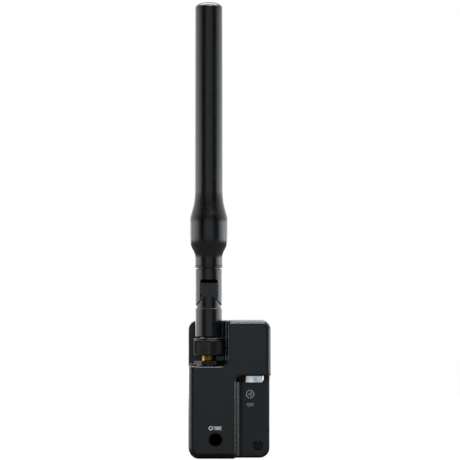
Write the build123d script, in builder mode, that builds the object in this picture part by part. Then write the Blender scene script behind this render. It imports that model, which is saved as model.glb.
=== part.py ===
from build123d import *
import os

os.makedirs("parts", exist_ok=True)

# Pocket wireless receiver with a screw-on, swivelling and tilting antenna.
# X is the width, Y the depth (the socket side looks to -Y), Z is up.

# case
case_wide = 34.0
case_tall = 57.6
case_back = -11.5
case_front = 11.5
case_corner = 4.2
wall = 1.8
floor_back = 3.6
floor_front = 5.2
part_line = 5.6
half = case_wide / 2
rim_round = 2.4
edge_round = 0.9

# the two recesses that leave a Z-shaped raised block
antenna_bay_x = -0.8
antenna_bay_z = 38.4
port_bay_x = 2.3
port_bay_z = 34.3
foot_round = 1.8
cove_round = 4.0

# case screws, one in each recess corner
screw_spots = [(12.1, 5.15), (-12.1, 52.45)]
screw_head_r = 1.9
screw_head_high = 1.0
screw_sink = 1.15
screw_shank_r = 1.0
screw_tip = 9.6
screw_seat_r = 2.9
screw_post_r = 2.3
board_post_r = 1.7
board_screw_r = 0.7

# tripod socket, 1/4-20
socket_x = -6.0
socket_z = 7.9
socket_mouth_r = 3.1
insert_r = 4.4
insert_bore_r = 2.6
insert_back = case_back + wall
insert_front = -3.2
boss_end = 0.8

# boards
board_back = 6.0
board_front = 7.0
board_screw_spots = [(12.4, 50.6), (-12.4, 7.0), (12.4, 20.0)]
port_board_back = 0.4
port_board_front = 1.6

# usb receptacle, opens downward into the port recess
usb_x = 10.25
usb_y = -1.55
usb_wide = 7.7
usb_deep = 3.9
usb_low = 31.6
usb_high = 38.8
usb_metal = 0.35
usb_notch = 0.5

# pairing button beside it
pair_x = 4.15
pair_r = 1.25
pair_tip = 31.6
pair_top = 36.95
pair_gap = 0.1

# power button and status light on the front face
power_x = 0.0
power_z = 15.0
power_r = 3.6
light_z = 25.0
light_r = 1.1

# battery
cell_box = ((-14.7, 0.2), (-2.4, 4.6), (3.0, 29.4))

# antenna, measured about its own upright axis
ant_x = -8.65
ant_y = -3.5
jack_r = 3.175
jack_low = 34.6
jack_top = 46.4
lead_low = 33.4
shell_bore_r = 2.25
dielectric_low = 35.6
contact_r = 0.45
contact_low = 42.2
contact_top = 56.2
ferrule_low = 47.2
ferrule_bore_r = 3.0
ferrule_top = 55.0
nut_r = 6.3
nut_low = 42.6
nut_high = 50.0
base_r = 5.6
base_low = 50.5
base_shoulder = 62.4
pin_z = 68.7
pin_r = 1.2
tongue_half = 3.62
tongue_round = 5.9
tongue_flat = 4.1
root_r = 5.15
ear_inner = 3.72
fork_r = 5.55
ear_round = 4.95
hinge_gap = 0.15
bridge_low = pin_z + 5.7
fork_top = 78.9
fork_groove = 0.7
plug_r = 4.3
spigot_top = 86.1
coax_r = 1.3
pin_half = 5.5
radiator_r = 0.8
radiator_low = 124.3
sleeve_r = 2.6
sleeve_low = 94.0
sleeve_high = 123.0
spacer_high = 4.0
radome_low = 79.4
neck_r = 5.75
bulge_r = 7.9
whip_low_r = 5.84
whip_top_r = 5.66
dome_low = 187.95
tip_z = 190.45

ant_plane = Plane(origin=(ant_x, ant_y, 0), x_dir=(1, 0, 0), z_dir=(0, -1, 0))
ant_axis = Axis((ant_x, ant_y, 0), (0, 0, 1))
pin_axis = Axis((ant_x, ant_y, pin_z), (1, 0, 0))


def save(piece, name):
    piece.part.label = name
    export_step(piece.part, "parts/" + name + ".step")


def facing(y_far):
    # upright plane at the far Y side of a layer; extruding goes toward -Y
    return Plane.XZ.offset(-y_far)


def layer_mid(low, high):
    return (low + high) / 2


def fillet_corner(sketch, x, z, radius):
    fillet(sketch.vertices().sort_by_distance((x, z, 0))[0:1], radius)


def on_outline(point):
    on_side = abs(abs(point.X) - half) < 0.01
    on_end = abs(point.Z) < 0.01 or abs(point.Z - case_tall) < 0.01
    return on_side or on_end


def is_recess_edge(edge):
    # outward edges of the two recesses: their rims, their mouths and the floor outline
    mid = edge.center()
    wall_gaps = (
        mid.X - port_bay_x,
        mid.Z - port_bay_z,
        mid.X - antenna_bay_x,
        mid.Z - antenna_bay_z,
    )
    on_wall = min(abs(gap) for gap in wall_gaps) < 0.01
    if abs(mid.Y - case_back) < 0.01:
        inner_corner = abs(mid.X) < 6 and 30 < mid.Z < 45
        return on_wall or inner_corner
    if mid.Y < case_back + rim_round:
        return on_wall
    if abs(mid.Y - part_line) < 0.01:
        return False
    along_y = abs(edge.start_point().X - edge.end_point().X) < 0.01
    along_y = along_y and abs(edge.start_point().Z - edge.end_point().Z) < 0.01
    if along_y:
        mouths = [(port_bay_x, 0), (half, port_bay_z), (antenna_bay_x, case_tall), (-half, antenna_bay_z)]
        return any(abs(mid.X - x) + abs(mid.Z - z) < 0.05 for x, z in mouths)
    low_y = abs(mid.Y - floor_back) < 0.01
    in_corner = half - abs(mid.X) < 1.4 and min(mid.Z, case_tall - mid.Z) < 1.4
    return on_outline(mid) or (low_y and in_corner)


# the two halves of the case
with BuildPart() as back_envelope:
    # outside of the back half before the recesses, with a soft rim
    with BuildSketch(facing(part_line)):
        with Locations((0, case_tall / 2)):
            RectangleRounded(case_wide, case_tall, case_corner)
    extrude(amount=part_line - case_back)
    fillet(back_envelope.faces().sort_by(Axis.Y)[0].edges(), rim_round)

with BuildPart() as back_shell:
    # raised Z block on a floor slab, both drawn past the outline and trimmed to it
    with BuildSketch(facing(floor_back)) as z_block:
        with BuildLine():
            Polyline(
                (-half - 5, -5),
                (port_bay_x, -5),
                (port_bay_x, port_bay_z),
                (half + 5, port_bay_z),
                (half + 5, case_tall + 5),
                (antenna_bay_x, case_tall + 5),
                (antenna_bay_x, antenna_bay_z),
                (-half - 5, antenna_bay_z),
                close=True,
            )
        make_face()
        fillet_corner(z_block, port_bay_x, port_bay_z, 2.3)
        fillet_corner(z_block, antenna_bay_x, antenna_bay_z, 3.0)
    extrude(amount=floor_back - case_back)
    with BuildSketch(facing(part_line)):
        with Locations((0, case_tall / 2)):
            Rectangle(case_wide + 10, case_tall + 10)
    extrude(amount=part_line - floor_back)
    # soft inside corner where the recess walls meet the floor
    wall_foot = (
        back_shell.edges()
        .filter_by(lambda e: abs(e.center().Y - floor_back) < 0.01)
        .filter_by(lambda e: abs(e.center().X) < half + 4 and -4 < e.center().Z < case_tall + 4)
    )
    fillet(wall_foot, foot_round)
    # deep cove along the upright wall of the port recess
    with BuildSketch(Plane.XY.offset(-5)):
        with Locations((port_bay_x + cove_round / 2, floor_back - cove_round / 2)):
            Rectangle(cove_round, cove_round)
        with Locations((port_bay_x + cove_round, floor_back - cove_round)):
            Circle(cove_round, mode=Mode.SUBTRACT)
    extrude(amount=5 + port_bay_z)
    add(back_envelope.part, mode=Mode.INTERSECT)
    fillet(back_shell.edges().filter_by(is_recess_edge), edge_round)
    # lower chamber behind the battery, upper chamber behind the port board
    with BuildSketch(facing(part_line)):
        with Locations(((port_bay_x - half) / 2, antenna_bay_z / 2)):
            RectangleRounded(half + port_bay_x - 2 * wall, antenna_bay_z - 2 * wall, 1.2)
        with Locations(((half + antenna_bay_x) / 2, layer_mid(port_bay_z, case_tall))):
            RectangleRounded(half - antenna_bay_x - 2 * wall, case_tall - port_bay_z - 2 * wall, 1.2)
    extrude(amount=part_line - case_back - wall, mode=Mode.SUBTRACT)
    # shallow tray that faces the front half
    with BuildSketch(facing(part_line)):
        with Locations((0, case_tall / 2)):
            RectangleRounded(case_wide - 2 * wall, case_tall - 2 * wall, case_corner - wall)
    extrude(amount=part_line - floor_front, mode=Mode.SUBTRACT)
    # screw seats: boss inside, counterbore and clearance hole from the recess
    with BuildSketch(facing(part_line)):
        with Locations(*screw_spots):
            Circle(screw_seat_r)
    extrude(amount=part_line - floor_front)
    with BuildSketch(facing(floor_back + screw_sink)):
        with Locations(*screw_spots):
            Circle(screw_head_r + 0.2)
    extrude(amount=screw_sink + 1, mode=Mode.SUBTRACT)
    with BuildSketch(facing(part_line)):
        with Locations(*screw_spots):
            Circle(screw_shank_r + 0.15)
    extrude(amount=part_line - floor_back, mode=Mode.SUBTRACT)
    # blind boss for the tripod insert, and its mouth
    with BuildSketch(facing(insert_front + boss_end)):
        with Locations((socket_x, socket_z)):
            Circle(insert_r + 1.3)
    extrude(amount=insert_front + boss_end - insert_back)
    with BuildSketch(facing(insert_front)):
        with Locations((socket_x, socket_z)):
            Circle(insert_r)
    extrude(amount=insert_front - insert_back, mode=Mode.SUBTRACT)
    with BuildSketch(facing(insert_back)):
        with Locations((socket_x, socket_z)):
            Circle(socket_mouth_r)
    extrude(amount=wall, mode=Mode.SUBTRACT)
    # hole for the antenna jack, through the ledge of the antenna recess
    with BuildSketch(Plane.XY.offset(antenna_bay_z - wall - 0.5)):
        with Locations((ant_x, ant_y)):
            Circle(jack_r + 0.05)
    extrude(amount=wall + 1.0, mode=Mode.SUBTRACT)
    # slot for the usb shell and hole for the pairing button
    with BuildSketch(Plane.XY.offset(port_bay_z - 2.0)):
        with Locations((usb_x, usb_y)):
            RectangleRounded(usb_wide + 0.1, usb_deep + 0.1, 0.6)
        with Locations((pair_x, usb_y)):
            Circle(pair_r + pair_gap)
    extrude(amount=wall + 2.5, mode=Mode.SUBTRACT)
    # fine chamfer that draws the parting line
    seam = (
        back_shell.faces()
        .sort_by(Axis.Y)[-1]
        .outer_wire()
        .edges()
    )
    chamfer(seam, 0.2)
save(back_shell, "back_shell")

with BuildPart() as front_shell:
    with BuildSketch(facing(case_front)):
        with Locations((0, case_tall / 2)):
            RectangleRounded(case_wide, case_tall, case_corner)
    extrude(amount=case_front - part_line)
    fillet(front_shell.faces().sort_by(Axis.Y)[-1].edges(), 2.4)
    chamfer(front_shell.faces().sort_by(Axis.Y)[0].edges(), 0.2)
    with BuildSketch(facing(case_front - wall + 0.1)):
        with Locations((0, case_tall / 2)):
            RectangleRounded(case_wide - 2 * wall, case_tall - 2 * wall, case_corner - wall)
    extrude(amount=case_front - wall + 0.1 - part_line, mode=Mode.SUBTRACT)
    # lip that centres the two halves
    with BuildSketch(facing(part_line + 1.4)):
        with Locations((0, case_tall / 2)):
            RectangleRounded(case_wide - 2 * wall + 0.4, case_tall - 2 * wall + 0.4, case_corner - wall)
            RectangleRounded(
                case_wide - 2 * wall - 1.0,
                case_tall - 2 * wall - 1.0,
                case_corner - wall - 0.6,
                mode=Mode.SUBTRACT,
            )
    extrude(amount=1.4)
    # screw bosses and board posts
    with BuildSketch(facing(case_front - 1.0)):
        with Locations(*screw_spots):
            Circle(screw_post_r)
    extrude(amount=case_front - 1.0 - part_line)
    with BuildSketch(facing(screw_tip + 0.3)):
        with Locations(*screw_spots):
            Circle(screw_shank_r)
    extrude(amount=screw_tip + 0.3 - part_line, mode=Mode.SUBTRACT)
    with BuildSketch(facing(case_front - 1.0)):
        with Locations(*board_screw_spots):
            Circle(board_post_r)
    extrude(amount=case_front - 1.0 - board_front)
    with BuildSketch(facing(9.4)):
        with Locations(*board_screw_spots):
            Circle(board_screw_r)
    extrude(amount=9.4 - board_front, mode=Mode.SUBTRACT)
    # holes for the power button and the light
    with BuildSketch(facing(case_front + 0.5)):
        with Locations((power_x, power_z)):
            Circle(power_r + 0.1)
        with Locations((0, light_z)):
            Circle(light_r)
    extrude(amount=wall + 1.5, mode=Mode.SUBTRACT)
save(front_shell, "front_shell")

with BuildPart() as case_screws:
    with BuildSketch(facing(floor_back + screw_sink)):
        with Locations(*screw_spots):
            Circle(screw_head_r)
    extrude(amount=screw_head_high)
    fillet(case_screws.faces().filter_by(Axis.Y).sort_by(Axis.Y)[0:2].edges(), 0.35)
    with BuildSketch(facing(screw_tip)):
        with Locations(*screw_spots):
            Circle(screw_shank_r)
    extrude(amount=screw_tip - floor_back - screw_sink)
    # cross recess
    with BuildSketch(facing(floor_back + screw_sink - 0.3)):
        with Locations(*screw_spots):
            Rectangle(2.2, 0.5)
            Rectangle(0.5, 2.2)
    extrude(amount=1.0, mode=Mode.SUBTRACT)
save(case_screws, "case_screws")

with BuildPart() as thread_insert:
    with BuildSketch(facing(insert_front)):
        with Locations((socket_x, socket_z)):
            Circle(insert_r)
            Circle(insert_bore_r, mode=Mode.SUBTRACT)
    extrude(amount=insert_front - insert_back)
save(thread_insert, "thread_insert")

# everything that sits between the two halves
with BuildPart() as main_board:
    with BuildSketch(facing(board_front)):
        with Locations((0, case_tall / 2)):
            RectangleRounded(28.6, 52.2, 2.0)
        with Locations(*screw_spots):
            Circle(2.7, mode=Mode.SUBTRACT)
        with Locations(*board_screw_spots):
            Circle(0.85, mode=Mode.SUBTRACT)
    extrude(amount=board_front - board_back)
save(main_board, "main_board")

with BuildPart() as board_screws:
    with BuildSketch(facing(board_back)):
        with Locations(*board_screw_spots):
            Circle(1.4)
    extrude(amount=0.6)
    with BuildSketch(facing(9.2)):
        with Locations(*board_screw_spots):
            Circle(board_screw_r)
    extrude(amount=9.2 - board_back)
    with BuildSketch(facing(board_back - 0.3)):
        with Locations(*board_screw_spots):
            Rectangle(1.6, 0.35)
            Rectangle(0.35, 1.6)
    extrude(amount=0.5, mode=Mode.SUBTRACT)
save(board_screws, "board_screws")

with BuildPart() as board_chips:
    with BuildSketch(facing(board_front + 0.9)):
        with Locations((-6.0, 44.0)):
            Rectangle(7.0, 7.0)
        with Locations((6.5, 33.0)):
            Rectangle(5.0, 4.0)
        with Locations((-7.5, 32.5)):
            Rectangle(4.0, 3.0)
    extrude(amount=0.9)
    with BuildSketch(facing(board_back)):
        with Locations((8.0, 27.0)):
            Rectangle(4.0, 3.0)
    extrude(amount=0.6)
save(board_chips, "board_chips")

with BuildPart() as radio_can:
    with BuildSketch(facing(board_back)):
        with Locations((6.6, 47.4)):
            RectangleRounded(8.4, 11.6, 0.5)
    extrude(amount=2.2)
    fillet(radio_can.faces().sort_by(Axis.Y)[0].edges(), 0.3)
    with BuildSketch(facing(board_back)):
        with Locations((6.6, 47.4)):
            Rectangle(8.0, 11.2)
    extrude(amount=2.0, mode=Mode.SUBTRACT)
save(radio_can, "radio_can")

with BuildPart() as port_board:
    with BuildSketch(facing(port_board_front)):
        with Locations((8.1, 45.7)):
            Rectangle(13.0, 17.0)
    extrude(amount=port_board_front - port_board_back)
save(port_board, "port_board")

with BuildPart() as board_link:
    with BuildSketch(facing(board_back)):
        with Locations((8.1, 38.6)):
            Rectangle(9.0, 2.4)
    extrude(amount=board_back - port_board_front)
save(board_link, "board_link")

with BuildPart() as usb_shell:
    # flat tube, closed at its inner end
    with BuildSketch(Plane.XY.offset(usb_low)):
        with Locations((usb_x, usb_y)):
            RectangleRounded(usb_wide, usb_deep, 0.6)
    extrude(amount=usb_high - usb_low)
    with BuildSketch(Plane.XY.offset(usb_low)):
        with Locations((usb_x, usb_y)):
            RectangleRounded(usb_wide - 2 * usb_metal, usb_deep - 2 * usb_metal, 0.3)
    extrude(amount=usb_high - usb_low - usb_metal, mode=Mode.SUBTRACT)
    # both narrow sides are cut back at a slant at the mouth
    with BuildSketch(facing(usb_y + usb_deep)):
        for side in (-1, 1):
            with BuildLine():
                Polyline(
                    (usb_x + side * (usb_wide / 2 - usb_notch), usb_low),
                    (usb_x + side * usb_wide / 2, usb_low + 2 * usb_notch),
                    (usb_x + side * (usb_wide / 2 + 1), usb_low + 2 * usb_notch),
                    (usb_x + side * (usb_wide / 2 + 1), usb_low),
                    close=True,
                )
            make_face()
    extrude(amount=2 * usb_deep, mode=Mode.SUBTRACT)
save(usb_shell, "usb_shell")

with BuildPart() as usb_tongue:
    with BuildSketch(Plane.XY.offset(usb_high - usb_metal - 1.2)):
        with Locations((usb_x, usb_y)):
            RectangleRounded(usb_wide - 2 * usb_metal, usb_deep - 2 * usb_metal, 0.3)
    extrude(amount=1.2)
    with BuildSketch(Plane.XY.offset(usb_low + 1.0)):
        with Locations((usb_x, usb_y + 0.5)):
            Rectangle(4.6, 0.9)
    extrude(amount=usb_high - usb_metal - usb_low - 1.0)
save(usb_tongue, "usb_tongue")

with BuildPart() as pair_button:
    with BuildSketch(Plane.XY.offset(pair_tip)):
        with Locations((pair_x, usb_y)):
            Circle(pair_r)
    extrude(amount=pair_top - pair_tip)
    fillet(pair_button.faces().sort_by(Axis.Z)[0].edges(), 0.7)
    with BuildSketch(Plane.XY.offset(pair_top - 0.55)):
        with Locations((pair_x, usb_y)):
            Circle(pair_r + 0.5)
    extrude(amount=0.55)
save(pair_button, "pair_button")

with BuildPart() as pair_switch:
    with BuildSketch(Plane.XY.offset(pair_top + 0.75)):
        with Locations((pair_x, usb_y)):
            Rectangle(3.4, 2.0)
        with Locations((pair_x, layer_mid(usb_y, port_board_back))):
            Rectangle(3.4, port_board_back - usb_y)
    extrude(amount=2.2)
    with BuildSketch(Plane.XY.offset(pair_top + 0.4)):
        with Locations((pair_x, usb_y)):
            Circle(0.6)
    extrude(amount=0.5)
save(pair_switch, "pair_switch")

with BuildPart() as power_button:
    with BuildSketch(facing(case_front)):
        with Locations((power_x, power_z)):
            Circle(power_r)
    extrude(amount=1.4)
    fillet(power_button.faces().sort_by(Axis.Y)[-1].edges(), 0.3)
    with BuildSketch(facing(case_front - 1.2)):
        with Locations((power_x, power_z)):
            Circle(power_r - 0.2)
    extrude(amount=0.9)
    with BuildSketch(facing(case_front - wall - 0.25)):
        with Locations((power_x, power_z)):
            Circle(power_r + 0.7)
    extrude(amount=0.55)
save(power_button, "power_button")

with BuildPart() as power_switch:
    with BuildSketch(facing(8.1)):
        with Locations((power_x, power_z)):
            Rectangle(4.4, 3.4)
    extrude(amount=8.1 - board_front)
    with BuildSketch(facing(8.5)):
        with Locations((power_x, power_z)):
            Circle(0.9)
    extrude(amount=0.5)
save(power_switch, "power_switch")

with BuildPart() as status_led:
    with BuildSketch(facing(board_front + 0.8)):
        with Locations((0, light_z)):
            Rectangle(1.6, 1.2)
    extrude(amount=0.8)
save(status_led, "status_led")

with BuildPart() as light_pipe:
    with BuildSketch(facing(case_front)):
        with Locations((0, light_z)):
            Circle(light_r)
    extrude(amount=case_front - 8.2)
    with BuildSketch(facing(case_front - wall + 0.1)):
        with Locations((0, light_z)):
            Circle(light_r + 0.6)
    extrude(amount=0.8)
save(light_pipe, "light_pipe")

with BuildPart() as battery_cell:
    with BuildSketch(facing(cell_box[1][1])):
        with Locations((layer_mid(*cell_box[0]), layer_mid(*cell_box[2]))):
            Rectangle(cell_box[0][1] - cell_box[0][0], cell_box[2][1] - cell_box[2][0])
    extrude(amount=cell_box[1][1] - cell_box[1][0])
    fillet(battery_cell.edges().filter_by(Axis.Z), 1.4)
save(battery_cell, "battery_cell")

with BuildPart() as battery_pad:
    with BuildSketch(facing(board_back)):
        with Locations((layer_mid(*cell_box[0]), 17.5)):
            Rectangle(9.0, 14.0)
    extrude(amount=board_back - cell_box[1][1])
save(battery_pad, "battery_pad")

# the connector the antenna screws on to
with BuildPart() as antenna_jack:
    # hexagon head inside the case, threaded shank through the ledge
    with BuildSketch(Plane.XY.offset(jack_low)):
        with Locations((ant_x, ant_y)):
            RegularPolygon(4.4, 6)
    extrude(amount=antenna_bay_z - wall - jack_low)
    with BuildSketch(Plane.XY.offset(jack_low)):
        with Locations((ant_x, ant_y)):
            Circle(jack_r)
    extrude(amount=jack_top - jack_low)
    chamfer(antenna_jack.faces().sort_by(Axis.Z)[-1].edges(), 0.3)
    with BuildSketch(Plane.XY.offset(lead_low)):
        with Locations((ant_x, ant_y)):
            Circle(2.0)
    extrude(amount=jack_low - lead_low)
    with BuildSketch(Plane.XY.offset(lead_low)):
        with Locations((ant_x, ant_y)):
            Circle(0.7)
    extrude(amount=dielectric_low - lead_low, mode=Mode.SUBTRACT)
    with BuildSketch(Plane.XY.offset(dielectric_low)):
        with Locations((ant_x, ant_y)):
            Circle(shell_bore_r)
    extrude(amount=jack_top - dielectric_low, mode=Mode.SUBTRACT)
save(antenna_jack, "antenna_jack")

with BuildPart() as jack_dielectric:
    with BuildSketch(Plane.XY.offset(dielectric_low)):
        with Locations((ant_x, ant_y)):
            Circle(shell_bore_r)
            Circle(0.65, mode=Mode.SUBTRACT)
    extrude(amount=9.2)
save(jack_dielectric, "jack_dielectric")

with BuildPart() as jack_contact:
    # solder tail below, hollow female contact above
    with BuildSketch(Plane.XY.offset(lead_low)):
        with Locations((ant_x, ant_y)):
            Circle(0.65)
    extrude(amount=11.0)
    with BuildSketch(Plane.XY.offset(contact_low - 1.2)):
        with Locations((ant_x, ant_y)):
            Circle(contact_r + 0.05)
    extrude(amount=3.4, mode=Mode.SUBTRACT)
save(jack_contact, "jack_contact")

with BuildPart() as jack_washer:
    with BuildSketch(Plane.XY.offset(antenna_bay_z)):
        with Locations((ant_x, ant_y)):
            Circle(4.8)
            Circle(jack_r, mode=Mode.SUBTRACT)
    extrude(amount=0.5)
save(jack_washer, "jack_washer")

with BuildPart() as jack_nut:
    with BuildSketch(Plane.XY.offset(antenna_bay_z + 0.5)):
        with Locations((ant_x, ant_y)):
            RegularPolygon(6.2, 6)
            Circle(jack_r, mode=Mode.SUBTRACT)
    extrude(amount=1.7)
save(jack_nut, "jack_nut")

with BuildPart() as jack_lead:
    with BuildLine() as lead_path:
        Polyline((ant_x, ant_y, lead_low), (ant_x, ant_y, 31.6), (ant_x, 5.0, 31.6), (ant_x, 5.9, 31.6))
    with BuildSketch(Plane(origin=(ant_x, ant_y, lead_low), z_dir=(0, 0, -1))):
        Circle(0.65)
    sweep(path=lead_path.wires()[0], transition=Transition.ROUND)
    with BuildSketch(facing(board_back)):
        with Locations((ant_x, 31.6)):
            Circle(1.3)
    extrude(amount=1.0)
save(jack_lead, "jack_lead")

with BuildPart() as coupling_nut:
    with BuildSketch(ant_plane):
        with BuildLine():
            Polyline(
                (jack_r + 0.06, nut_low),
                (nut_r - 0.4, nut_low),
                (nut_r, nut_low + 0.4),
                (nut_r, nut_high - 0.4),
                (nut_r - 0.4, nut_high),
                (3.65, nut_high),
                (3.65, 49.0),
                (4.65, 49.0),
                (4.65, 46.9),
                (jack_r + 0.06, 46.9),
                close=True,
            )
        make_face()
    revolve(axis=ant_axis)
save(coupling_nut, "coupling_nut")

with BuildPart() as base_ferrule:
    with BuildSketch(ant_plane):
        with BuildLine():
            Polyline(
                (contact_r, ferrule_low),
                (4.3, ferrule_low),
                (4.3, 48.7),
                (3.35, 48.7),
                (3.35, base_low),
                (ferrule_bore_r, base_low),
                (ferrule_bore_r, ferrule_top),
                (contact_r, ferrule_top),
                close=True,
            )
        make_face()
    revolve(axis=ant_axis)
save(base_ferrule, "base_ferrule")

with BuildPart() as contact_pin:
    with BuildSketch(Plane.XY.offset(contact_low)):
        with Locations((ant_x, ant_y)):
            Circle(contact_r)
    extrude(amount=contact_top - contact_low)
save(contact_pin, "contact_pin")

# the antenna: base with hinge, fork, and the radome with the radiator in it
with BuildPart() as antenna_base:
    with BuildSketch(Plane.XY.offset(base_low)):
        with Locations((ant_x, ant_y)):
            Circle(base_r)
    extrude(amount=base_shoulder - base_low)
    chamfer(antenna_base.faces().sort_by(Axis.Z)[0].edges(), 0.3)
    chamfer(antenna_base.faces().sort_by(Axis.Z)[-1].edges(), 0.12)
    # root under the ears, scooped out round the pin; its front edge stops the ears
    with BuildSketch(Plane.XY.offset(base_shoulder)):
        with Locations((ant_x, ant_y)):
            Circle(root_r)
    extrude(amount=pin_z - base_shoulder)
    with BuildSketch(Plane.YZ.offset(ant_x - base_r)):
        with Locations((ant_y, pin_z)):
            Circle(ear_round + hinge_gap)
        with Locations((ant_y + base_r, pin_z)):
            Rectangle(2 * base_r, 2 * (ear_round + hinge_gap))
    extrude(amount=2 * base_r, mode=Mode.SUBTRACT)
    # flat-sided tongue, round about the pin at its top
    with BuildSketch(Plane.XY.offset(base_shoulder)):
        with Locations((ant_x, ant_y)):
            Circle(root_r)
            Rectangle(2 * tongue_half, 2 * tongue_flat, mode=Mode.INTERSECT)
    extrude(amount=pin_z + tongue_round - base_shoulder)
    with BuildSketch(Plane.YZ.offset(ant_x - base_r)):
        with Locations((ant_y, pin_z + base_r)):
            Rectangle(3 * base_r, 2 * base_r)
        with Locations((ant_y, pin_z)):
            Circle(tongue_round, mode=Mode.SUBTRACT)
    extrude(amount=2 * base_r, mode=Mode.SUBTRACT)
    # bore for the ferrule, bore for the contact pin and hole for the hinge pin
    with BuildSketch(Plane.XY.offset(base_low)):
        with Locations((ant_x, ant_y)):
            Circle(ferrule_bore_r)
    extrude(amount=ferrule_top - base_low, mode=Mode.SUBTRACT)
    with BuildSketch(Plane.XY.offset(base_low)):
        with Locations((ant_x, ant_y)):
            Circle(contact_r)
    extrude(amount=contact_top - base_low, mode=Mode.SUBTRACT)
    with BuildSketch(Plane.YZ.offset(ant_x - base_r)):
        with Locations((ant_y, pin_z)):
            Circle(pin_r + 0.05)
    extrude(amount=2 * base_r, mode=Mode.SUBTRACT)
save(antenna_base, "antenna_base")

with BuildPart() as hinge_pin:
    with BuildSketch(Plane.YZ.offset(ant_x - pin_half)):
        with Locations((ant_y, pin_z)):
            Circle(pin_r)
    extrude(amount=2 * pin_half)
    chamfer(hinge_pin.faces().filter_by(Axis.X).edges(), 0.2)
save(hinge_pin, "hinge_pin")

with BuildPart() as hinge_fork:
    with BuildSketch(Plane.XY.offset(pin_z - ear_round)):
        with Locations((ant_x, ant_y)):
            Circle(fork_r)
    extrude(amount=fork_top - pin_z + ear_round)
    chamfer(hinge_fork.faces().sort_by(Axis.Z)[-1].edges(), 0.2)
    # gap for the tongue
    with BuildSketch(Plane.XY.offset(pin_z - ear_round)):
        with Locations((ant_x, ant_y)):
            Rectangle(2 * ear_inner, 3 * fork_r)
    extrude(amount=bridge_low - pin_z + ear_round, mode=Mode.SUBTRACT)
    # round the lower end of both ears about the pin
    with BuildSketch(Plane.YZ.offset(ant_x - fork_r)):
        with Locations((ant_y, pin_z - ear_round)):
            Rectangle(3 * fork_r, 2 * ear_round)
        with Locations((ant_y, pin_z)):
            Circle(ear_round, mode=Mode.SUBTRACT)
    extrude(amount=2 * fork_r, mode=Mode.SUBTRACT)
    # groove across the bridge, so that the round top of the tongue turns in it
    with BuildSketch(Plane.YZ.offset(ant_x - ear_inner)):
        with Locations((ant_y, pin_z)):
            Circle(tongue_round + hinge_gap)
    extrude(amount=2 * ear_inner, mode=Mode.SUBTRACT)
    # thin neck that leaves a groove below the radome, and the spigot inside it
    with BuildSketch(Plane.XY.offset(fork_top)):
        with Locations((ant_x, ant_y)):
            Circle(fork_r - fork_groove)
    extrude(amount=radome_low - fork_top)
    with BuildSketch(Plane.XY.offset(radome_low)):
        with Locations((ant_x, ant_y)):
            Circle(plug_r)
    extrude(amount=spigot_top - radome_low)
    with BuildSketch(Plane.XY.offset(bridge_low)):
        with Locations((ant_x, ant_y)):
            Circle(coax_r)
    extrude(amount=spigot_top - bridge_low, mode=Mode.SUBTRACT)
    with BuildSketch(Plane.YZ.offset(ant_x - pin_half)):
        with Locations((ant_y, pin_z)):
            Circle(pin_r)
    extrude(amount=2 * pin_half, mode=Mode.SUBTRACT)
save(hinge_fork, "hinge_fork")

with BuildPart() as radome:
    with BuildSketch(ant_plane):
        with BuildLine():
            Polyline(
                (plug_r, radome_low),
                (neck_r - 0.2, radome_low),
                (neck_r + 0.08, radome_low + 0.28),
                (neck_r + 0.08, radome_low + 0.8),
                (neck_r, radome_low + 1.0),
                (neck_r, 83.6),
            )
            Spline(
                (neck_r, 83.6),
                (6.15, 85.8),
                (7.2, 87.4),
                (bulge_r, 89.3),
                tangents=((0, 1), (0, 1)),
            )
            Line((bulge_r, 89.3), (bulge_r, 99.1))
            Spline(
                (bulge_r, 99.1),
                (7.55, 101.2),
                (6.72, 104.1),
                (6.12, 106.8),
                (whip_low_r, 110.4),
                tangents=((0, 1), (-0.03, 1)),
            )
            Line((whip_low_r, 110.4), (whip_top_r, dome_low))
            Spline((whip_top_r, dome_low), (0, tip_z), tangents=((0, 1), (-1, 0)))
            Line((0, tip_z), (0, 187.6))
            Polyline(
                (0, 187.6),
                (3.2, 187.6),
                (plug_r, 186.2),
                (plug_r, 107.5),
                (6.4, 98.5),
                (6.4, 90.0),
                (plug_r, 87.0),
                (plug_r, radome_low),
            )
        make_face()
    revolve(axis=ant_axis)
save(radome, "radome")

with BuildPart() as feed_coax:
    with BuildSketch(Plane.XY.offset(bridge_low + 0.3)):
        with Locations((ant_x, ant_y)):
            Circle(coax_r)
    extrude(amount=radiator_low - bridge_low - 0.3)
save(feed_coax, "feed_coax")

with BuildPart() as radiator_sleeve:
    with BuildSketch(Plane.XY.offset(sleeve_low)):
        with Locations((ant_x, ant_y)):
            Circle(sleeve_r)
            Circle(sleeve_r - 0.4, mode=Mode.SUBTRACT)
    extrude(amount=sleeve_high - sleeve_low)
    # the closed end that is soldered to the feed
    with BuildSketch(Plane.XY.offset(sleeve_high)):
        with Locations((ant_x, ant_y)):
            Circle(sleeve_r)
            Circle(coax_r, mode=Mode.SUBTRACT)
    extrude(amount=-1.4)
save(radiator_sleeve, "radiator_sleeve")

with BuildPart() as radiator_whip:
    with BuildSketch(Plane.XY.offset(radiator_low)):
        with Locations((ant_x, ant_y)):
            Circle(radiator_r)
    extrude(amount=55.0)
save(radiator_whip, "radiator_whip")

with BuildPart() as radiator_spacers:
    for low, hole_r in ((108.0, sleeve_r), (150.0, radiator_r), (176.0, radiator_r)):
        with BuildSketch(Plane.XY.offset(low)):
            with Locations((ant_x, ant_y)):
                Circle(plug_r)
                Circle(hole_r, mode=Mode.SUBTRACT)
        extrude(amount=spacer_high)
save(radiator_spacers, "radiator_spacers")
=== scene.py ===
import math

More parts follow.
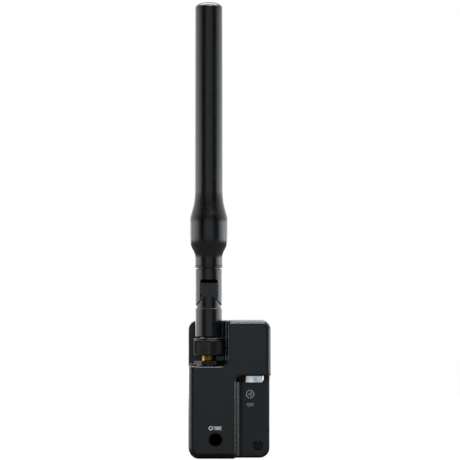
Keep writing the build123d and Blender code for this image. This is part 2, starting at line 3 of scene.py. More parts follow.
import bmesh
import bpy
import numpy as np
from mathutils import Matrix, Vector


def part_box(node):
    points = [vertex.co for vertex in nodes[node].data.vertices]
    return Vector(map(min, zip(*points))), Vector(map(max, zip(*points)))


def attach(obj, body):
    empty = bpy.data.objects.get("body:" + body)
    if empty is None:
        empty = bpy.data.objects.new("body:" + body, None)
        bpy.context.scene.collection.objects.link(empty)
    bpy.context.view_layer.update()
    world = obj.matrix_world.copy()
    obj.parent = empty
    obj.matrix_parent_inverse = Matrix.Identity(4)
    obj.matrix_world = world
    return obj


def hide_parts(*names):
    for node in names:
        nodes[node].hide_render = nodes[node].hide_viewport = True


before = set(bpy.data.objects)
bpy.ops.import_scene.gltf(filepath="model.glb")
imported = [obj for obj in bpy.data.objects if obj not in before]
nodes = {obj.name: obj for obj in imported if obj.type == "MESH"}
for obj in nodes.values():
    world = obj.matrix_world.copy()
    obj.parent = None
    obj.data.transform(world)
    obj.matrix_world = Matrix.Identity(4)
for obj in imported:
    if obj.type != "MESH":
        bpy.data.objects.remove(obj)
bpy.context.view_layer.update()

mm = 0.001
print("frame loaded:", len(nodes), "nodes")


def middle(node):
    low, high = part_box(node)
    return (low[0] + high[0]) / 2, (low[1] + high[1]) / 2, (low[2] + high[2]) / 2


antennaX, antennaY, _ = middle("radome")
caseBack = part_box("back_shell")[0][1]


def addPiece(name, points, faces, body, slotName, material, smoothAngle=35, replaced=()):
    # a closed mesh with merged poles and seams and its normals outwards, riding on its body
    mesh = bpy.data.meshes.new(name)
    mesh.from_pydata(points.tolist(), [], faces.tolist())
    soup = bmesh.new()
    soup.from_mesh(mesh)
    bmesh.ops.remove_doubles(soup, verts=soup.verts, dist=1e-7)
    bmesh.ops.dissolve_degenerate(soup, edges=soup.edges, dist=1e-8)
    bmesh.ops.recalc_face_normals(soup, faces=soup.faces)
    soup.to_mesh(mesh)
    soup.free()
    mesh.shade_smooth()
    mesh.set_sharp_from_angle(angle=math.radians(smoothAngle))
    mesh.materials.append(material)
    piece = bpy.data.objects.new(name, mesh)
    bpy.context.scene.collection.objects.link(piece)
    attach(piece, body)
    if replaced:
        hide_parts(*replaced)
    return piece


def gridFaces(rows, columns, wrapRows, wrapColumns, start=0):
    # quads between neighbouring grid points, rows and columns closing on themselves where asked
    r, c = np.meshgrid(np.arange(rows if wrapRows else rows - 1),
                       np.arange(columns if wrapColumns else columns - 1), indexing="ij")
    r, c = r.ravel(), c.ravel()
    rNext, cNext = (r + 1) % rows, (c + 1) % columns
    quads = np.stack([r * columns + c, r * columns + cNext,
                      rNext * columns + cNext, rNext * columns + c], axis=1)
    return quads + start


def turned(radius, height, angle, centre=(0, 0), axis="z"):
    # point = centre + radius * (cos angle, sin angle) across the axis, height along it; all three are grids
    across, other = radius * np.cos(angle), radius * np.sin(angle)
    if axis == "z":
        return np.stack([centre[0] + across, centre[1] + other, height], axis=-1)
    return np.stack([centre[0] + across, height, centre[1] + other], axis=-1)


def alongProfile(corners, step):
    # the corner points of a profile with extra points between them, no two farther apart than step
    corners = np.asarray(corners, float)
    spans = np.hypot(*np.diff(corners, axis=0).T)
    runs = []
    for first, last, span in zip(corners[:-1], corners[1:], spans):
        count = max(2, int(np.ceil(span / step)) + 1)
        runs.append(first + (last - first) * np.linspace(0, 1, count)[:-1, None])
    return np.vstack(runs + [corners[-1:]])


def smoothStep(x, low, high):
    # 3 t^2 - 2 t^3, with t going from 0 at low to 1 at high
    t = np.clip((x - low) / (high - low), 0, 1)
    return t * t * (3 - 2 * t)


def newGroup(name, inputs, outputs):
    tree = bpy.data.node_groups.new(name, "ShaderNodeTree")
    for label, kind, value in inputs:
        socket = tree.interface.new_socket(name=label, in_out="INPUT", socket_type=kind)
        if value is not None:
            socket.default_value = value
    for label, kind in outputs:
        tree.interface.new_socket(name=label, in_out="OUTPUT", socket_type=kind)
    return tree, tree.nodes.new("NodeGroupInput"), tree.nodes.new("NodeGroupOutput")


def mathNode(tree, operation, first, second, clamp=False):
    node = tree.nodes.new("ShaderNodeMath")
    node.operation = operation
    node.use_clamp = clamp
    for socket, value in ((node.inputs[0], first), (node.inputs[1], second)):
        if hasattr(value, "links"):
            tree.links.new(value, socket)
        else:
            socket.default_value = value
    return node.outputs[0]


def noiseNode(tree, vector, scale, detail=2.0, rough=0.5):
    node = tree.nodes.new("ShaderNodeTexNoise")
    node.inputs["Detail"].default_value = detail
    node.inputs["Roughness"].default_value = rough
    tree.links.new(vector, node.inputs["Vector"])
    if hasattr(scale, "links"):
        tree.links.new(scale, node.inputs["Scale"])
    else:
        node.inputs["Scale"].default_value = scale
    return node.outputs["Fac"]


grainMix = {"coarseScale": 0.37, "fineShare": 0.65, "blotchGain": 2.2, "blotchShift": -0.6}
lineMix = {"gain": 3.0, "shift": -1.0}


def buildMouldGrain(s):
    # spark-eroded mould surface: fine pits on top of slow blotches; height 0..1, blotch 0..1
    tree, inlet, outlet = newGroup("mouldGrain", [
        ("Vector", "NodeSocketVector", None),
        ("Grain Scale", "NodeSocketFloat", 3200.0),
        ("Blotch Scale", "NodeSocketFloat", 180.0),
    ], [("Height", "NodeSocketFloat"), ("Blotch", "NodeSocketFloat")])
    fine = noiseNode(tree, inlet.outputs["Vector"], inlet.outputs["Grain Scale"], 3.0, 0.6)
    coarseScale = mathNode(tree, "MULTIPLY", inlet.outputs["Grain Scale"], s["coarseScale"])
    coarse = noiseNode(tree, inlet.outputs["Vector"], coarseScale, 1.0)
    tree.links.new(mathNode(tree, "ADD", mathNode(tree, "MULTIPLY", fine, s["fineShare"]),
                            mathNode(tree, "MULTIPLY", coarse, 1 - s["fineShare"])), outlet.inputs["Height"])
    slow = noiseNode(tree, inlet.outputs["Vector"], inlet.outputs["Blotch Scale"], 4.0, 0.65)
    spread = mathNode(tree, "MULTIPLY_ADD", slow, s["blotchGain"], True)
    spread.node.inputs[2].default_value = s["blotchShift"]
    tree.links.new(spread, outlet.inputs["Blotch"])
    return tree


def buildPullLines(s):
    # faint lines along the direction a part left its mould or lathe: noise squeezed across, stretched along
    tree, inlet, outlet = newGroup("pullLines", [
        ("Vector", "NodeSocketVector", None),
        ("Across", "NodeSocketVector", (2600.0, 2600.0, 22.0)),
    ], [("Height", "NodeSocketFloat"), ("Lines", "NodeSocketFloat")])
    stretch = tree.nodes.new("ShaderNodeVectorMath")
    stretch.operation = "MULTIPLY"
    tree.links.new(inlet.outputs["Vector"], stretch.inputs[0])
    tree.links.new(inlet.outputs["Across"], stretch.inputs[1])
    lines = noiseNode(tree, stretch.outputs[0], 1.0, 2.0)
    tree.links.new(lines, outlet.inputs["Height"])
    sharper = mathNode(tree, "MULTIPLY_ADD", lines, s["gain"], True)
    sharper.node.inputs[2].default_value = s["shift"]
    tree.links.new(sharper, outlet.inputs["Lines"])
    return tree


groups = {"mouldGrain": buildMouldGrain(grainMix), "pullLines": buildPullLines(lineMix)}


def placeGroup(tree, name, vector, **values):
    node = tree.nodes.new("ShaderNodeGroup")
    node.node_tree = groups[name]
    tree.links.new(vector, node.inputs["Vector"])
    for label, value in values.items():
        node.inputs[label].default_value = value
    return node


def mixColour(tree, mask, first, second):
    node = tree.nodes.new("ShaderNodeMix")
    node.data_type = "RGBA"
    tree.links.new(mask, node.inputs["Factor"])
    node.inputs["A"].default_value = (*first, 1)
    node.inputs["B"].default_value = (*second, 1)
    return node.outputs["Result"]


def mapTo(tree, value, low, high):
    node = tree.nodes.new("ShaderNodeMapRange")
    tree.links.new(value, node.inputs["Value"])
    node.inputs["To Min"].default_value = low
    node.inputs["To Max"].default_value = high
    return node.outputs["Result"]


def startMaterial(name):
    material = bpy.data.materials.new(name)
    material.use_nodes = True
    tree = material.node_tree
    shader = tree.nodes["Principled BSDF"]
    vector = tree.nodes.new("ShaderNodeTexCoord").outputs["Object"]
    return material, tree, shader, vector


def addBump(tree, shader, height, depth):
    bump = tree.nodes.new("ShaderNodeBump")
    bump.inputs["Distance"].default_value = depth
    tree.links.new(height, bump.inputs["Height"])
    tree.links.new(bump.outputs["Normal"], shader.inputs["Normal"])


def mouldedPlastic(name, dark, light, rough, specular, grain=3200.0, depth=0.000012, blotch=180.0, coat=0.0):
    # spark-eroded plastic: colour and gloss drift with the blotches, the grain is a bump
    material, tree, shader, vector = startMaterial(name)
    field = placeGroup(tree, "mouldGrain", vector, **{"Grain Scale": grain, "Blotch Scale": blotch})
    tree.links.new(mixColour(tree, field.outputs["Blotch"], dark, light), shader.inputs["Base Color"])
    tree.links.new(mapTo(tree, field.outputs["Blotch"], *rough), shader.inputs["Roughness"])
    addBump(tree, shader, field.outputs["Height"], depth)
    shader.inputs["Specular IOR Level"].default_value = specular
    shader.inputs["Coat Weight"].default_value = coat
    return material


linedSettings = {
    "across": (2600.0, 2600.0, 22.0),
    "depth": 0.000014,
    "grain": 2800.0,
    "blotch": 150.0,
    "lineShare": 0.7,
    "grainShare": 0.6,
}


def linedPlastic(name, dark, light, rough, specular, s=linedSettings):
    # rubbery plastic with faint lines along its length, on top of the same grain
    material, tree, shader, vector = startMaterial(name)
    lines = placeGroup(tree, "pullLines", vector, Across=s["across"])
    field = placeGroup(tree, "mouldGrain", vector, **{"Grain Scale": s["grain"], "Blotch Scale": s["blotch"]})
    both = mathNode(tree, "ADD", mathNode(tree, "MULTIPLY", lines.outputs["Lines"], s["lineShare"]),
                    mathNode(tree, "MULTIPLY", field.outputs["Blotch"], 1 - s["lineShare"]))
    tree.links.new(mixColour(tree, both, dark, light), shader.inputs["Base Color"])
    tree.links.new(mapTo(tree, both, *rough), shader.inputs["Roughness"])
    height = mathNode(tree, "ADD", lines.outputs["Height"],
                      mathNode(tree, "MULTIPLY", field.outputs["Height"], s["grainShare"]))
    addBump(tree, shader, height, s["depth"])
    shader.inputs["Specular IOR Level"].default_value = specular
    return material


metalSettings = {"grain": 1500.0, "blotch": 260.0, "depth": 0.000004}


def platedMetal(name, dull, bright, rough, across=(900.0, 900.0, 5200.0), s=metalSettings):
    # plated or rolled metal: tone drifts with the blotches, gloss and bump with the fine lines
    material, tree, shader, vector = startMaterial(name)
    lines = placeGroup(tree, "pullLines", vector, Across=across)
    field = placeGroup(tree, "mouldGrain", vector, **{"Grain Scale": s["grain"], "Blotch Scale": s["blotch"]})
    tree.links.new(mixColour(tree, field.outputs["Blotch"], dull, bright), shader.inputs["Base Color"])
    tree.links.new(mapTo(tree, lines.outputs["Lines"], *rough), shader.inputs["Roughness"])
    addBump(tree, shader, lines.outputs["Height"], s["depth"])
    shader.inputs["Metallic"].default_value = 1.0
    return material


plastics = {
    # dark, light, roughness range, specular; then grain per metre, its depth, blotches per metre, clear coat
    "caseBlack": ((0.0030, 0.0036, 0.0041), (0.0052, 0.0060, 0.0067), (0.23, 0.31), 0.47),
    "keyRubber": ((0.006, 0.006, 0.007), (0.012, 0.012, 0.013), (0.55, 0.70), 0.35, 5200.0),
    "chipBlack": ((0.015, 0.015, 0.016), (0.026, 0.026, 0.028), (0.45, 0.6), 0.4, 6000.0),
    # near-black and barely reflective: painted shade, used only for the disc down the thread socket
    "paintedShadeBlack": ((0.0008, 0.0008, 0.0009), (0.0016, 0.0016, 0.0018), (0.8, 0.95), 0.06),
    "whiteInk": ((0.74, 0.77, 0.78), (0.92, 0.94, 0.95), (0.45, 0.6), 0.4, 4200.0),
    "boardGreen": ((0.010, 0.060, 0.026), (0.016, 0.100, 0.042), (0.22, 0.34), 0.5,
                   2600.0, 0.00001, 420.0, 0.3),
    "cellFilm": ((0.42, 0.43, 0.45), (0.55, 0.56, 0.58), (0.25, 0.4), 0.5, 900.0, 0.00003),
    "spongeGrey": ((0.05, 0.05, 0.055), (0.10, 0.10, 0.11), (0.85, 0.95), 0.2, 2400.0, 0.0001),
    "fluoroWhite": ((0.72, 0.71, 0.68), (0.82, 0.81, 0.78), (0.35, 0.5), 0.45, 2000.0),
    "jacketBlack": ((0.012, 0.012, 0.013), (0.022, 0.022, 0.024), (0.4, 0.5), 0.5, 2500.0),
    "pipeMilky": ((0.55, 0.60, 0.62), (0.68, 0.72, 0.74), (0.15, 0.25), 0.5, 1500.0, 0.000004),
}
linedPlastics = {
    # dark, light, roughness range, specular
    "antennaBlack": ((0.0016, 0.0018, 0.0021), (0.0050, 0.0056, 0.0062), (0.20, 0.32), 0.5),
    "nutBlack": ((0.0020, 0.0023, 0.0026), (0.0050, 0.0056, 0.0060), (0.26, 0.38), 0.5),
}
metals = {
    # dull, bright, roughness range; then how often the lines repeat across x, y and z
    "goldPlate": ((0.56, 0.34, 0.09), (0.98, 0.76, 0.36), (0.05, 0.14)),
    "darkNickel": ((0.012, 0.012, 0.013), (0.026, 0.026, 0.028), (0.12, 0.20)),
    "portSteel": ((0.34, 0.34, 0.34), (0.97, 0.96, 0.95), (0.08, 0.20), (300.0, 3000.0, 300.0)),
    "tinSheet": ((0.55, 0.55, 0.56), (0.70, 0.70, 0.71), (0.30, 0.45)),
    "brassTurned": ((0.45, 0.30, 0.10), (0.66, 0.47, 0.19), (0.22, 0.38)),
    "pinSteel": ((0.28, 0.28, 0.29), (0.42, 0.42, 0.43), (0.28, 0.42)),
    "blackOxide": ((0.020, 0.021, 0.023), (0.050, 0.052, 0.056), (0.26, 0.42)),
    "screwBlack": ((0.010, 0.010, 0.011), (0.030, 0.031, 0.033), (0.12, 0.22)),
}
finishes = {}
for maker, family in ((mouldedPlastic, plastics), (linedPlastic, linedPlastics), (platedMetal, metals)):
    for finish, values in family.items():
        finishes[finish] = maker(finish, *values)

nodeFinish = {
    "caseBlack": ["back_shell", "front_shell"],
    "screwBlack": ["case_screws", "board_screws"],
    "blackOxide": ["thread_insert"],
    "boardGreen": ["main_board", "port_board"],
    "chipBlack": ["board_chips", "board_link", "usb_tongue", "pair_switch", "power_switch"],
    "tinSheet": ["radio_can"],
    "portSteel": ["usb_shell"],
    "pipeMilky": ["light_pipe", "status_led"],
    "cellFilm": ["battery_cell"],
    "spongeGrey": ["battery_pad", "radiator_spacers"],
    "fluoroWhite": ["jack_dielectric"],
    "goldPlate": ["antenna_jack", "jack_contact", "contact_pin"],
    "darkNickel": ["jack_nut", "jack_washer", "base_ferrule"],
    "jacketBlack": ["jack_lead", "feed_coax"],
    "brassTurned": ["radiator_sleeve", "radiator_whip"],
    "nutBlack": ["coupling_nut"],
    "antennaBlack": ["antenna_base", "hinge_fork", "radome"],
    "pinSteel": ["hinge_pin"],
    "keyRubber": ["pair_button", "power_button"],
}
for finish, names in nodeFinish.items():
    for name in names:
        slots = nodes[name].data.materials
        if len(slots) == 0:
            slots.append(finishes[finish])
        for index in range(len(slots)):
            slots[index] = finishes[finish]
print("materials:", len(finishes))

# sizes of the new pieces are in millimetres, those of the studio in metres

sleeve = {
    # outer outline from the neck lip to the foot of the dome: height, radius
    "outline": [(79.40, 5.55), (79.68, 5.83), (80.20, 5.83), (80.40, 5.75), (83.60, 5.75), (84.90, 5.88),
                (85.80, 6.10), (86.60, 6.46), (87.40, 6.92), (88.20, 7.33), (89.00, 7.61), (90.00, 7.79),
                (91.20, 7.87), (92.60, 7.90),
                (99.10, 7.90), (99.90, 7.81), (100.70, 7.66), (101.60, 7.42), (102.90, 7.02), (104.10, 6.70),
                (105.50, 6.34), (106.80, 6.12), (108.40, 5.95), (110.40, 5.84), (187.95, 5.66)],
    # bore from its closed end down to the lip: height, radius
    "bore": [(187.6, 0.0), (187.6, 3.2), (186.2, 4.3), (150.0, 4.3), (110.0, 4.3), (107.5, 4.3), (98.5, 6.4),
             (90.0, 6.4), (87.0, 4.3), (79.4, 4.3)],
    "tip": 190.45,
    "domePower": 0.9,
    "domeRings": 18,
    # rings of points: close together up to the top of the bulge, then spread out
    "ringStep": 0.35,
    "bulgeTop": 112,
    "rodRings": 60,
    # the outline is smoothed between these heights, coming in and going out over each pair
    "softFrom": (83.0, 84.0),
    "softTo": (110.5, 112.0),
    "softRings": 5,
    "sides": 96,
    "seamAngles": (-math.pi / 2, math.pi / 2),
    "seamWidth": 0.28,
    "seamHeight": 0.05,
    "seamFrom": (79.7, 80.6),
    "seamTo": (187.6, 189.4),
    "seamRadius": 5.7,
    # columns of points beside a seam, in seam widths
    "seamColumns": (-2.2, -1.3, -0.7, -0.3, 0, 0.3, 0.7, 1.3, 2.2),
}


def sleeveOutline(s):
    # radius of height: the outline smoothed over its taper, then a dome that is nearly a quarter ellipse
    z, r = np.array(s["outline"]).T
    fine = np.arange(z[0], s["bulgeTop"], s["ringStep"])
    level = np.unique(np.concatenate([fine, np.linspace(s["bulgeTop"], z[-1], s["rodRings"]), z[:4]]))
    radius = np.interp(level, z, r)
    window = s["softRings"]
    soft = np.convolve(np.pad(radius, window // 2, mode="edge"), np.ones(window) / window, mode="valid")
    inTaper = smoothStep(level, *s["softFrom"]) * (1 - smoothStep(level, *s["softTo"]))
    radius = radius * (1 - inTaper) + soft * inTaper
    turn = np.linspace(0, math.pi / 2, s["domeRings"])[1:]
    domeRadius = r[-1] * np.cos(turn) ** s["domePower"]
    domeRadius[-1] = 0
    domeLevel = z[-1] + (s["tip"] - z[-1]) * np.sin(turn)
    return np.concatenate([level, domeLevel]), np.concatenate([radius, domeRadius])


def buildSleeve(s):
    # radius = outline of height + a bell-shaped bead along both mould seams, with extra columns at the seams
    outerZ, outerR = sleeveOutline(s)
    innerZ, innerR = np.array(s["bore"]).T
    seams = np.array(s["seamAngles"])
    near = np.array(s["seamColumns"]) * s["seamWidth"] / s["seamRadius"]
    around = np.linspace(-math.pi, math.pi, s["sides"] + 1)[:-1]
    angle = np.unique(np.round(np.concatenate([around, (seams[:, None] + near).ravel()]), 9))
    turnFromSeam = np.abs(np.angle(np.exp(1j * (angle[:, None] - seams)))).min(axis=1)
    bead = s["seamHeight"] * np.exp(-(turnFromSeam * s["seamRadius"] / (s["seamWidth"] / 2)) ** 2)
    share = smoothStep(outerZ, *s["seamFrom"]) * (1 - smoothStep(outerZ, *s["seamTo"]))
    outer = outerR[:, None] + bead[None, :] * share[:, None]
    outer = np.where(outerR[:, None] > 0, outer, 0)
    allR = np.vstack([np.repeat(innerR[:, None], len(angle), axis=1), outer]) * mm
    allZ = np.repeat(np.concatenate([innerZ, outerZ])[:, None], len(angle), axis=1) * mm
    points = turned(allR, allZ, angle[None, :], (antennaX, antennaY))
    return points.reshape(-1, 3), gridFaces(*points.shape[:2], False, True)


addPiece("antennaSleeve", *buildSleeve(sleeve), "antenna_arm", "antenna_plastic",
         finishes["antennaBlack"], 40, ["radome"])
print("antenna sleeve made")

knurlNut = {
    # closed section: radius, height
    "section": [(3.235, 42.6), (5.75, 42.6), (6.18, 42.95), (6.33, 43.3), (6.33, 49.05), (6.12, 49.25),
                (6.12, 49.4), (6.25, 49.5), (6.25, 49.75), (6.0, 50.0), (3.65, 50.0), (3.65, 49.0),
                (4.65, 49.0), (4.65, 46.9), (3.235, 46.9), (3.235, 42.6)],
    "step": 0.35,
    "ridges": 54,
    "pointsPerRidge": 8,
    "depth": 0.27,
    "sharpness": 0.8,
    # the knurl comes in and goes out over these heights, on the outer face only
    "knurlFrom": (43.0, 43.45),
    "knurlTo": (48.8, 49.1),
    "outerFace": 5.9,
}


def buildKnurlNut(s):
    # radius = section radius - depth * half a cosine of (ridge count * angle), in the knurled band
    section = alongProfile(s["section"], s["step"])[:-1]
    angle = np.linspace(0, 2 * math.pi, s["ridges"] * s["pointsPerRidge"], endpoint=False)
    r, z = section[:, 0], section[:, 1]
    band = smoothStep(z, *s["knurlFrom"]) * (1 - smoothStep(z, *s["knurlTo"])) * (r > s["outerFace"])
    valley = (0.5 - 0.5 * np.cos(angle * s["ridges"])) ** s["sharpness"]
    radius = (r[:, None] - s["depth"] * band[:, None] * valley[None, :]) * mm
    height = np.repeat(z[:, None], len(angle), axis=1) * mm
    points = turned(radius, height, angle[None, :], (antennaX, antennaY))
    return points.reshape(-1, 3), gridFaces(*points.shape[:2], True, True)


addPiece("knurledNut", *buildKnurlNut(knurlNut), "nut", "knurl_plastic",
         finishes["nutBlack"], 50, ["coupling_nut"])
print("coupling nut made")

jackThread = {
    # closed section: radius, height
    "section": [(2.25, 35.6), (4.2, 35.6), (4.2, 36.5), (3.1, 36.55), (3.1, 38.3), (3.175, 38.4),
                (3.175, 46.1), (2.95, 46.4), (2.25, 46.4), (2.25, 35.6)],
    "wall": 3.175,
    "pitch": 0.7056,
    "depth": -0.34,
    "from": 38.2,
    "to": 46.2,
}
socketThread = {
    # closed section: radius, place along y
    "section": [(2.62, -9.7), (4.4, -9.7), (4.4, -3.2), (2.62, -3.2), (2.62, -9.7)],
    "wall": 2.62,
    "pitch": 1.27,
    "depth": 0.52,
    "from": -9.5,
    "to": -3.4,
}
threadCut = {"step": 0.07, "sides": 96, "runOut": 0.6, "crest": 1.15, "slope": 1.3, "wallBand": 0.02}
# a dark disc down the thread socket: painted shade that makes the deep hole read black
socketShadeDisc = {"radius": 2.6, "near": -4.6, "far": -3.25, "sides": 64}


def buildThread(s, centre, axis, cut=threadCut):
    # radius = section radius + depth * a flat-topped wave of (height / pitch - angle / turn),
    # faded at both ends
    section = alongProfile(s["section"], cut["step"])[:-1]
    angle = np.linspace(0, 2 * math.pi, cut["sides"], endpoint=False)
    r, z = section[:, 0], section[:, 1]
    runOut = s["pitch"] * cut["runOut"]
    fade = smoothStep(z, s["from"], s["from"] + runOut) * (1 - smoothStep(z, s["to"] - runOut, s["to"]))
    fade = fade * np.isclose(r, s["wall"], atol=cut["wallBand"])
    phase = (z[:, None] / s["pitch"] - angle[None, :] / (2 * math.pi)) % 1.0
    wave = np.clip(cut["crest"] - np.abs(phase * 2 - 1) * cut["slope"], 0, 1)
    radius = (r[:, None] + s["depth"] * wave * fade[:, None]) * mm
    height = np.repeat(z[:, None], cut["sides"], axis=1) * mm
    points = turned(radius, height, angle[None, :], centre, axis)
    return points.reshape(-1, 3), gridFaces(*points.shape[:2], True, True)


def buildSocketShadeDisc(s):
    # a plain closed disc: radius steps 0, r, r, 0 along the axis; near-black and dull, it is painted shade at
    # the far end of the socket bore
    r = np.array([0.0, s["radius"], s["radius"], 0.0])[:, None] * mm
    y = np.array([s["near"], s["near"], s["far"], s["far"]])[:, None] * mm
    angle = np.linspace(0, 2 * math.pi, s["sides"], endpoint=False)[None, :]
    points = turned(np.repeat(r, s["sides"], axis=1), np.repeat(y, s["sides"], axis=1), angle,
                    (socketX, socketZ), "y")
    return points.reshape(-1, 3), gridFaces(*points.shape[:2], False, True)


addPiece("jackBarrel", *buildThread(jackThread, (antennaX, antennaY), "z"), "case", "gold_plate",
         finishes["goldPlate"], 40, ["antenna_jack"])
socketX, _, socketZ = middle("thread_insert")
# the near-black disc is painted shade inside the socket hole
addPiece("socketShadeDisc", *buildSocketShadeDisc(socketShadeDisc), "case", "black_screw", finishes["paintedShadeBlack"])
addPiece("socketBush", *buildThread(socketThread, (socketX, socketZ), "y"), "case", "black_screw",
         finishes["blackOxide"], 40, ["thread_insert"])
print("threads made")

ink = {"depth": 0.012, "proud": 0.006, "bold": 1.25, "step": 0.4}
waveMark = {"at": (8.8, 26.6), "ring": 1.55, "shift": -0.55, "dot": 0.14,
            "ringLine": 0.17, "waveLine": 0.13, "dotLine": 0.14,
            # each wave: radius, half its angle in degrees, points
            "waves": ((0.62, 52, 16), (1.15, 48, 20))}
portMark = {"at": (8.8, 22.2), "half": 1.3, "foot": 0.85, "top": 0.5, "bottom": 0.5, "tongue": 0.6,
            "edgeLine": 0.11, "tongueLine": 0.13}
boltMark = {"at": (-6.0, 12.7), "head": 0.78, "headShift": -1.95, "shank": (-0.75, 2.35), "halfShank": 0.55,
            "threads": (-0.35, 2.0, 6), "halfThread": 0.75, "lean": 0.35,
            "headLine": 0.15, "shankLine": 0.11, "threadLine": 0.12}
recessFloor = 3.6 * mm


def inkStrokes(strokes, faceY, s=ink):
    # each stroke is a path of (x, z) points, a half width and whether it closes on itself;
    # its section is a flat rectangle: half a width to each side, from just above the face to just below it
    points, faces, start = [], [], 0
    for path, halfWidth, closed in strokes:
        path = np.asarray(path, float)
        ahead = np.roll(path, -1, axis=0) - np.roll(path, 1, axis=0)
        if not closed:
            ahead[0], ahead[-1] = path[1] - path[0], path[-1] - path[-2]
        ahead /= np.hypot(*ahead.T)[:, None]
        side = np.stack([-ahead[:, 1], ahead[:, 0]], axis=1) * halfWidth * s["bold"]
        rows = []
        for sign, y in ((1, -s["proud"]), (-1, -s["proud"]), (-1, s["depth"]), (1, s["depth"])):
            edge = path + sign * side
            level = np.full(len(path), faceY + y * mm)
            rows.append(np.stack([edge[:, 0] * mm, level, edge[:, 1] * mm], axis=1))
        grid = np.stack(rows, axis=1)
        points.append(grid.reshape(-1, 3))
        faces.append(gridFaces(grid.shape[0], 4, closed, True, start))
        last = start + (grid.shape[0] - 1) * 4
        if not closed:
            faces.append(np.arange(4) + np.array([[start], [last]]))
        start = last + 4
    return np.vstack(points), np.vstack(faces)


def arcPath(centre, radius, low, high, count):
    # point = centre + radius * (cos turn, sin turn), turn in degrees from low to high
    turn = np.radians(np.linspace(low, high, count, endpoint=(high - low) < 360))
    return np.stack([centre[0] + radius * np.cos(turn), centre[1] + radius * np.sin(turn)], axis=1)


def linePath(*corners):
    return alongProfile(corners, ink["step"])


def waveStrokes(s):
    # a dot with two waves to its right, inside a ring
    x, z = s["at"]
    root = (x + s["shift"], z)
    strokes = [(arcPath((x, z), s["ring"], 0, 360, 72), s["ringLine"], True)]
    for radius, half, count in s["waves"]:
        strokes.append((arcPath(root, radius, -half, half, count), s["waveLine"], False))
    strokes.append((arcPath((root[0] - s["dot"] / 2, z), s["dot"], 0, 360, 16), s["dotLine"], True))
    return strokes


def portStrokes(s):
    # the mouth of a socket: flat top, slanted lower corners, a tongue in the middle; the strokes overlap
    x, z = s["at"]
    top, bottom, line = z + s["top"], z - s["bottom"], s["edgeLine"]
    strokes = [(linePath((x - s["half"], top), (x + s["half"], top)), line, False)]
    for side in (-1, 1):
        edge, foot = x + side * s["half"], x + side * s["foot"]
        strokes.append((linePath((edge, top + 0.1), (edge, z - 0.1), (foot, bottom - 0.05)), line, False))
    strokes.append((linePath((x - s["foot"] - 0.05, bottom), (x + s["foot"] + 0.05, bottom)), line, False))
    level = z + 0.05
    strokes.append((linePath((x - s["tongue"], level), (x + s["tongue"], level)), s["tongueLine"], False))
    return strokes


def boltStrokes(s):
    # a little bolt: hexagon head, two lines for the shank and slanted thread lines
    x, z = s["at"]
    low, high = s["shank"]
    strokes = [(arcPath((x + s["headShift"], z), s["head"], 0, 360, 6), s["headLine"], True)]
    for side in (1, -1):
        level = z + side * s["halfShank"]
        strokes.append((linePath((x + low, level), (x + high, level)), s["shankLine"], False))
    for slant in np.linspace(*s["threads"]):
        foot, top = (x + slant, z - s["halfThread"]), (x + slant + s["lean"], z + s["halfThread"])
        strokes.append((linePath(foot, top), s["threadLine"], False))
    return strokes


addPiece("recessMarks", *inkStrokes(waveStrokes(waveMark) + portStrokes(portMark), recessFloor), "case",
         "white_insulator", finishes["whiteInk"])
addPiece("threadMark", *inkStrokes(boltStrokes(boltMark), caseBack), "case", "white_insulator",
         finishes["whiteInk"])
print("printed marks made")

table = {"half": 1.5, "glow": 0.85, "dark": (0.10, 0.10, 0.10), "light": (0.12, 0.12, 0.12), "grain": 300.0,
         "blotch": 6.0, "rough": 0.9, "specular": 0.1}
lamps = {
    # place, aimed at, width, height, power
    "overhead": ((0.05, 0.25, 0.95), (0, 0, 0.1), 1.0, 0.5, 15.0),
    "frontFill": ((0.15, -0.75, 1.2), (0, 0, 0.05), 0.7, 0.3, 12.5),
    "leftWall": ((-1.0, -0.06, 0.04), (0, 0, 0.06), 0.9, 0.30, 1.3),
    "rightWall": ((1.0, 0.05, 0.06), (0, 0, 0.04), 1.0, 0.22, 1.7),
}
room = {
    # white walls beside and behind, a dark room in front with one pale panel in it:
    # how far the direction points away from the panel (0..1), brightness
    "walls": [(0.0, 1.08), (0.035, 0.98), (0.08, 0.0), (0.21, 0.0), (0.30, 0.5), (0.42, 1.6), (0.6, 2.6),
              (1.0, 3.0)],
    "panelEdge": 0.1,
    "panelTint": (0.84, 0.98, 1.10),
    # the walls dim upwards: sine of the angle above level from and to, share of the brightness from and to
    "dimming": (0.03, 0.085, 1.0, 0.48),
}


def buildTable(s):
    corners = [(x * s["half"], y * s["half"], 0) for x, y in ((-1, -1), (1, -1), (1, 1), (-1, 1))]
    mesh = bpy.data.meshes.new("floor")
    mesh.from_pydata(corners, [], [(0, 1, 2, 3)])
    floor = bpy.data.objects.new("floor", mesh)
    bpy.context.scene.collection.objects.link(floor)
    # pale to the eye, but it throws little light up, as a table at arm's length does
    material, tree, shader, vector = startMaterial("paleFloor")
    field = placeGroup(tree, "mouldGrain", vector, **{"Grain Scale": s["grain"], "Blotch Scale": s["blotch"]})
    tone = mixColour(tree, field.outputs["Blotch"], s["dark"], s["light"])
    tree.links.new(tone, shader.inputs["Base Color"])
    shader.inputs["Roughness"].default_value = s["rough"]
    shader.inputs["Specular IOR Level"].default_value = s["specular"]
    shader.inputs["Emission Color"].default_value = (1, 1, 1, 1)
    seen = tree.nodes.new("ShaderNodeLightPath").outputs["Is Camera Ray"]
    tree.links.new(mathNode(tree, "MULTIPLY", seen, s["glow"]), shader.inputs["Emission Strength"])
    mesh.materials.append(material)


def hangLamp(name, place, aim, width, height, power):
    data = bpy.data.lights.new(name, "AREA")
    data.shape = "RECTANGLE"
    data.size, data.size_y, data.energy = width, height, power
    lamp = bpy.data.objects.new(name, data)
    lamp.location = place
    lamp.rotation_euler = (Vector(aim) - Vector(place)).to_track_quat("-Z", "Y").to_euler()
    lamp.visible_camera = False
    bpy.context.scene.collection.objects.link(lamp)


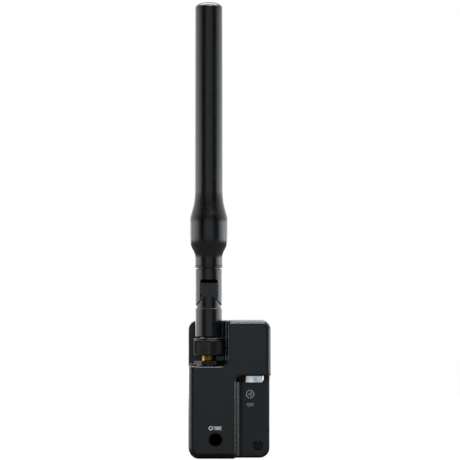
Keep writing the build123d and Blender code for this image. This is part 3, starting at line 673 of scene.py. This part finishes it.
def roomLight(tree, s):
    # brightness of a direction = ramp of how far it points away from the panel * dimming of its height
    lit = tree.nodes.new("ShaderNodeBackground")
    direction = tree.nodes.new("ShaderNodeSeparateXYZ")
    tree.links.new(tree.nodes.new("ShaderNodeTexCoord").outputs["Generated"], direction.inputs[0])
    away = mathNode(tree, "MULTIPLY_ADD", direction.outputs["Y"], 0.5)
    away.node.inputs[2].default_value = 0.5
    ramp = tree.nodes.new("ShaderNodeValToRGB")
    tree.links.new(away, ramp.inputs["Fac"])
    stops = ramp.color_ramp.elements
    while len(stops) < len(s["walls"]):
        stops.new(0.5)
    for stop, (place, _) in zip(stops, s["walls"]):
        stop.position = place
    for stop, (place, bright) in zip(stops, s["walls"]):
        tint = s["panelTint"] if place < s["panelEdge"] else (1, 1, 1)
        stop.color = (*[bright * part for part in tint], 1)
    tree.links.new(ramp.outputs["Color"], lit.inputs["Color"])
    dim = tree.nodes.new("ShaderNodeMapRange")
    tree.links.new(direction.outputs["Z"], dim.inputs["Value"])
    for name, value in zip(("From Min", "From Max", "To Min", "To Max"), s["dimming"]):
        dim.inputs[name].default_value = value
    tree.links.new(dim.outputs["Result"], lit.inputs["Strength"])
    return lit


def buildRoom(s):
    # plain white where the camera looks, the room's own light everywhere else
    world = bpy.data.worlds.new("paleRoom")
    bpy.context.scene.world = world
    world.use_nodes = True
    tree = world.node_tree
    tree.nodes.clear()
    seen = tree.nodes.new("ShaderNodeBackground")
    seen.inputs["Strength"].default_value = 1.0
    seen.inputs["Color"].default_value = (1, 1, 1, 1)
    mix = tree.nodes.new("ShaderNodeMixShader")
    tree.links.new(tree.nodes.new("ShaderNodeLightPath").outputs["Is Camera Ray"], mix.inputs["Fac"])
    tree.links.new(roomLight(tree, s).outputs[0], mix.inputs[1])
    tree.links.new(seen.outputs[0], mix.inputs[2])
    tree.links.new(mix.outputs[0], tree.nodes.new("ShaderNodeOutputWorld").inputs["Surface"])
    bpy.context.scene.view_settings.view_transform = "Standard"


buildTable(table)
for name, settings in lamps.items():
    hangLamp(name, *settings)
buildRoom(room)

# long lens, a little left of and below the middle, aimed at the middle of the frame
view = {"place": (-0.037, caseBack - 1.45, 0.048), "aim": (0.0, caseBack, 0.09487), "halfWidth": 0.09545,
        "sensor": 36, "clip": (0.05, 20)}


def placeCamera(s):
    # focal length = half the sensor * distance / half the width seen
    data = bpy.data.cameras.new("camera")
    camera = bpy.data.objects.new("camera", data)
    bpy.context.scene.collection.objects.link(camera)
    sight = Vector(s["aim"]) - Vector(s["place"])
    camera.location = s["place"]
    camera.rotation_euler = sight.to_track_quat("-Z", "Y").to_euler()
    data.sensor_width = s["sensor"]
    data.lens = s["sensor"] / 2 * sight.length / s["halfWidth"]
    data.clip_start, data.clip_end = s["clip"]
    bpy.context.scene.camera = camera


placeCamera(view)
print("studio ready")
